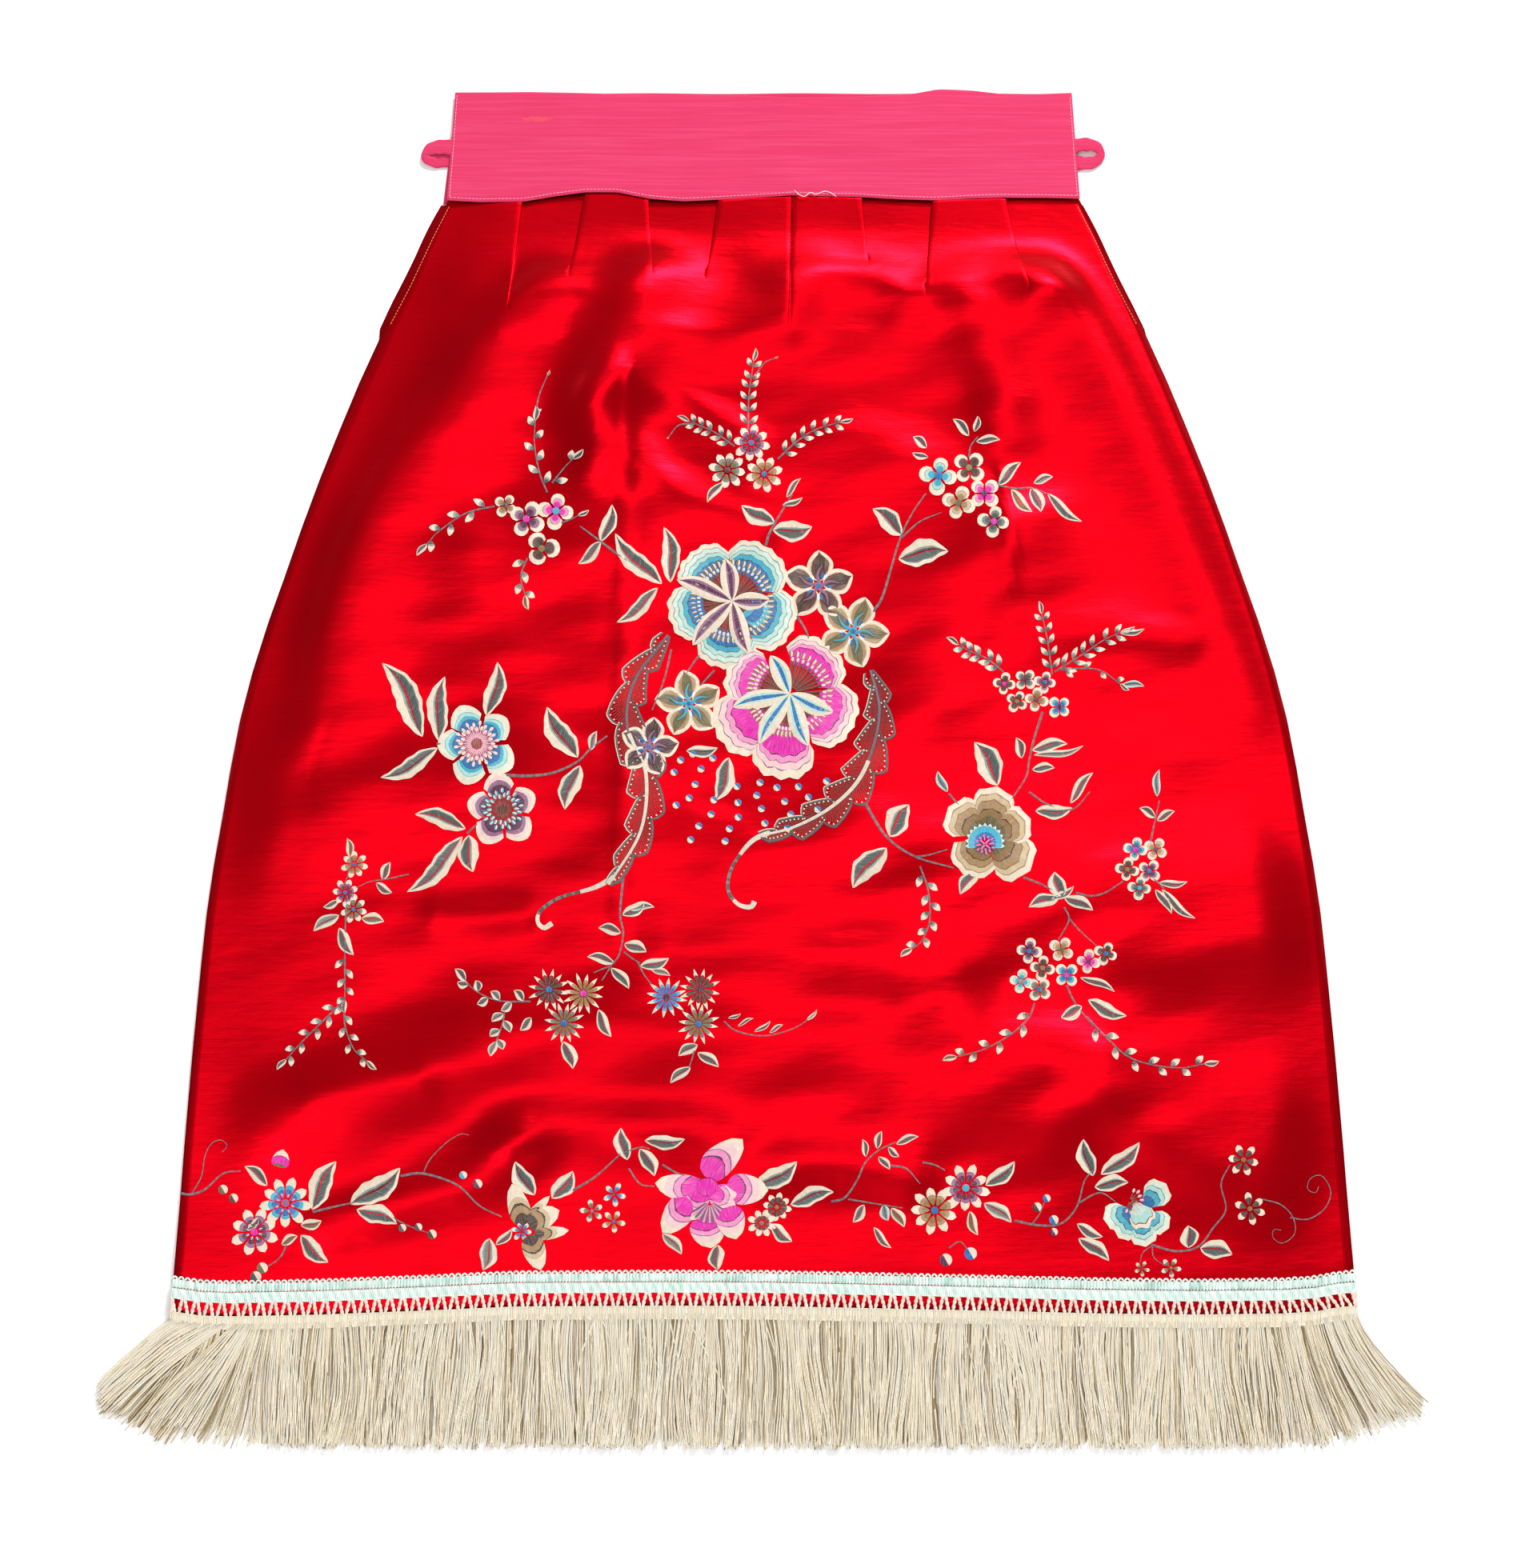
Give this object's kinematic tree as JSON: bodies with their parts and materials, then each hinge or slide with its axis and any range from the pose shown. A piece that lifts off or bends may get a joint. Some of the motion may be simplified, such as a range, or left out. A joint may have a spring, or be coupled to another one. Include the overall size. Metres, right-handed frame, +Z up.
{
  "type": "embroidered skirt",
  "caption": "Flat-laid embroidered silk skirt: cotton waistband with side loops, pleats under it, flared panels, and a hem trim of braid, open lattice and fringe.",
  "frame": {"origin": "middle of the skirt's outer box on the page, on the surface it lies on", "axes": "+X to the right of the skirt as it is seen, +Y from the hem to the waistband, +Z up out of the front face"},
  "size_m": [0.7959, 0.8993, 0.0176],
  "materials": {
    "silk_satin": "glossy red silk satin, light and dark with the run of the cloth",
    "cotton_band": "matt bright pink plain-weave cotton with slubs",
    "gimp_braid": "pale mint gimp braid, softly shining",
    "trim_thread": "cream twisted thread",
    "fringe_thread": "cream fringe thread, matt",
    "embroidery_thread": "satin-stitched silk thread in many colours, softly shining"
  },
  "bodies": {
    "root": {"front_panel": "silk_satin", "back_panel": "silk_satin", "front_waistband": "cotton_band", "back_waistband": "cotton_band", "loop_left": "cotton_band", "loop_right": "cotton_band", "front_braid": "gimp_braid", "back_braid": "gimp_braid", "front_lattice": "trim_thread", "back_lattice": "trim_thread", "front_fringe": "fringe_thread", "back_fringe": "fringe_thread"}
  },
  "joints": []
}
